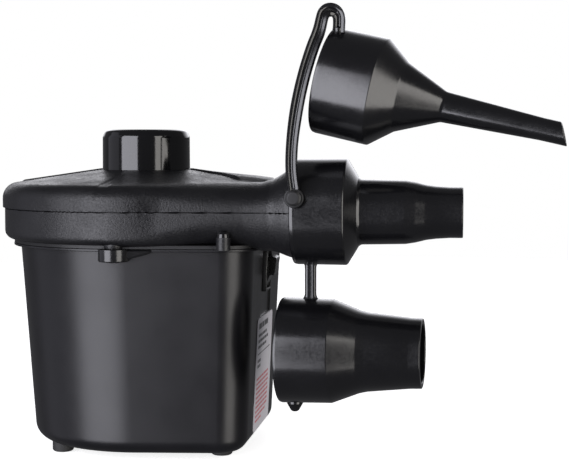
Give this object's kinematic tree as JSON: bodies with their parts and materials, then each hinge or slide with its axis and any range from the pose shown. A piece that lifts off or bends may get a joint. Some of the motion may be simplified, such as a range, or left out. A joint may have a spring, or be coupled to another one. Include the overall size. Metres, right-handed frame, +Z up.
{
  "type": "electric air mattress pump",
  "caption": "Hand-held electric air pump with a volute head on a tapered motor case, a tangential outlet, and a set of push-on nozzles tied on by straps.",
  "frame": {"origin": "the point on the plane under the rubber feet that lies on the fan axis", "axes": "+Z up along the fan and inlet axis, +X along the outlet's air stream, +Y away from the outlet's side"},
  "size_m": [0.1914, 0.1028, 0.1479],
  "materials": {
    "head_plastic": "fine spark-eroded grain, matt",
    "case_plastic": "smooth satin",
    "gloss_black": "polished",
    "nozzle_plastic": "soft moulded, semi-gloss",
    "rubber_black": "matt",
    "label_film": "satin film label",
    "switch_frame": "satin",
    "switch_black": "satin",
    "screw_steel": "zinc plated",
    "contact_brass": "plain",
    "can_steel": "zinc plated",
    "magnet_ferrite": "sintered",
    "bush_bronze": "sintered bronze",
    "cap_nylon": "natural nylon",
    "carbon": "carbon",
    "spring_steel": "plain",
    "shaft_steel": "ground",
    "core_steel": "laminated",
    "winding_copper": "enamelled copper",
    "impeller_plastic": "natural",
    "board_green": "solder mask",
    "component_black": "moulded",
    "capacitor_blue": "sleeve",
    "fuse_ceramic": "plain",
    "wire_red": "insulated"
  },
  "bodies": {
    "pump": {"upper_shell": "head_plastic", "lower_shell": "head_plastic", "inlet_collar": "gloss_black", "inlet_grille": "gloss_black", "motor_case": "case_plastic", "rubber_feet": "rubber_black", "case_screws": "screw_steel", "shell_screws": "screw_steel", "label_plate": "label_film", "cord_gland": "rubber_black", "switch_body": "switch_frame", "switch_terminals": "contact_brass", "motor_can": "can_steel", "motor_magnets": "magnet_ferrite", "front_bush": "bush_bronze", "rear_cap": "cap_nylon", "rear_bush": "bush_bronze", "carbon_brushes": "carbon", "brush_springs": "spring_steel", "motor_screws": "screw_steel", "motor_damper": "rubber_black", "circuit_board": "board_green", "bridge_rectifier": "component_black", "capacitor": "capacitor_blue", "thermal_fuse": "fuse_ceramic", "lead_wires": "wire_red"},
    "rotor": {"motor_shaft": "shaft_steel", "armature_core": "core_steel", "armature_windings": "winding_copper", "commutator": "winding_copper", "impeller": "impeller_plastic", "impeller_bush": "contact_brass", "impeller_nut": "screw_steel"},
    "rocker": {"switch_rocker": "switch_black"},
    "nozzle": {"medium_nozzle": "nozzle_plastic"},
    "small_spare": {"small_nozzle": "nozzle_plastic", "upper_tether": "nozzle_plastic"},
    "large_spare": {"large_nozzle": "nozzle_plastic", "lower_tether": "nozzle_plastic"}
  },
  "joints": [
    {"name": "fan_spin", "type": "hinge", "parent": "pump", "child": "rotor", "pos_m": [0, 0, 0.04], "axis": [0, 0, 1], "continuous": true},
    {"name": "rocker_tilt", "type": "hinge", "parent": "pump", "child": "rocker", "pos_m": [0.04105, 0, 0.06077], "axis": [0, 1, 0], "range_deg": [-24, 0]},
    {"name": "nozzle_slide", "type": "slide", "parent": "pump", "child": "nozzle", "axis": [1, 0, 0], "range_m": [0, 0.018]},
    {"name": "small_swing", "type": "hinge", "parent": "nozzle", "child": "small_spare", "pos_m": [0.059, -0.05, 0.0874], "axis": [0, 1, 0], "range_deg": [-35, 8], "stiffness_Nm_per_rad": 0.15, "springref_deg": -1.03},
    {"name": "large_swing", "type": "hinge", "parent": "nozzle", "child": "large_spare", "pos_m": [0.062, -0.033, 0.064], "axis": [0, -1, 0], "range_deg": [-6, 25], "stiffness_Nm_per_rad": 0.06, "springref_deg": 0.86}
  ]
}
